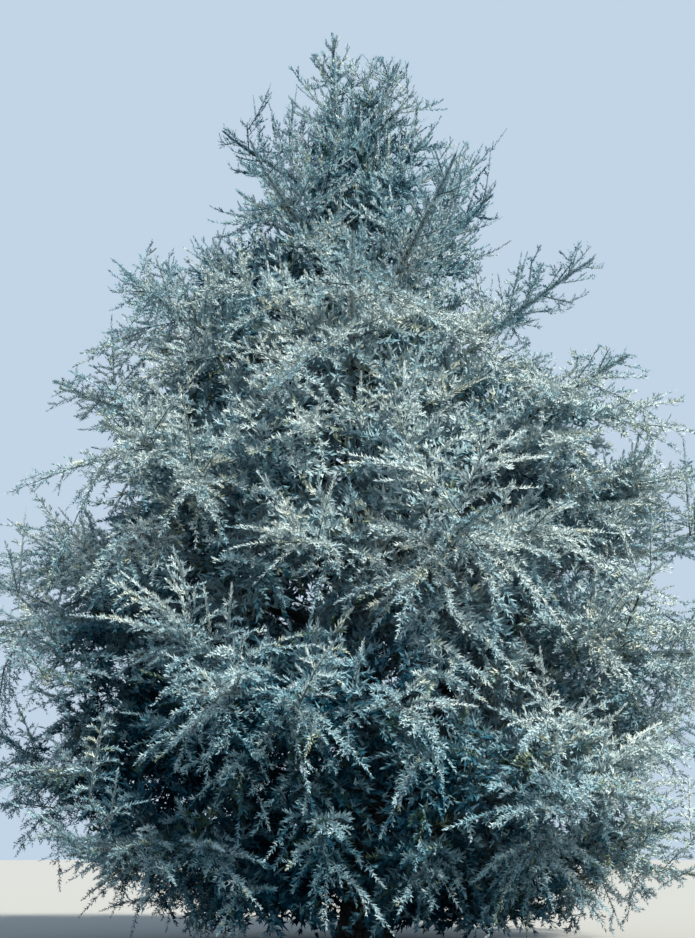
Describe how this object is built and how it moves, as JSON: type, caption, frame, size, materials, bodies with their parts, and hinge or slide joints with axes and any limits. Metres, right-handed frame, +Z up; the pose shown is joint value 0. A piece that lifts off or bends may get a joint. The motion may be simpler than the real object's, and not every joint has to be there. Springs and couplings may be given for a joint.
{
  "type": "blue atlas cedar tree",
  "caption": "Whole mature conifer with a leaning tapered trunk, root flare, rising boughs and a full broad conical crown of blue-grey needled sprays down to the ground.",
  "frame": {"origin": "middle of the flat cut under the trunk at ground level, on the ground mount", "axes": "+Z up, -Y towards the viewer of the picture, +X to the viewer's right; the trunk leans towards -X"},
  "size_m": [12.9384, 13.021, 16],
  "materials": {
    "bark": "rough grey-brown furrowed bark",
    "needles": "matte blue-grey needles with a waxy bloom"
  },
  "bodies": {
    "root": {"trunk": "bark", "bough_01": "bark", "bough_02": "bark", "bough_03": "bark", "bough_04": "bark", "bough_05": "bark", "bough_06": "bark", "bough_07": "bark", "bough_08": "bark", "bough_09": "bark", "bough_10": "bark", "bough_11": "bark", "bough_12": "bark", "bough_13": "bark", "bough_14": "bark", "bough_15": "bark", "bough_16": "bark", "bough_17": "bark", "bough_18": "bark", "bough_19": "bark", "bough_20": "bark", "bough_21": "bark", "bough_22": "bark", "bough_23": "bark", "bough_24": "bark", "bough_25": "bark", "foliage_01": "needles", "foliage_02": "needles", "foliage_03": "needles", "foliage_04": "needles", "foliage_05": "needles", "foliage_06": "needles", "foliage_07": "needles", "foliage_08": "needles", "foliage_09": "needles", "foliage_10": "needles", "foliage_11": "needles", "foliage_12": "needles", "foliage_13": "needles", "foliage_14": "needles", "foliage_15": "needles", "foliage_16": "needles", "foliage_17": "needles", "foliage_18": "needles", "foliage_19": "needles", "foliage_20": "needles", "foliage_21": "needles", "foliage_22": "needles", "foliage_23": "needles", "foliage_24": "needles", "foliage_25": "needles", "foliage_26": "needles", "foliage_27": "needles", "foliage_28": "needles", "foliage_29": "needles", "foliage_30": "needles", "foliage_31": "needles", "foliage_32": "needles", "foliage_33": "needles", "leader_foliage": "needles"}
  },
  "joints": []
}
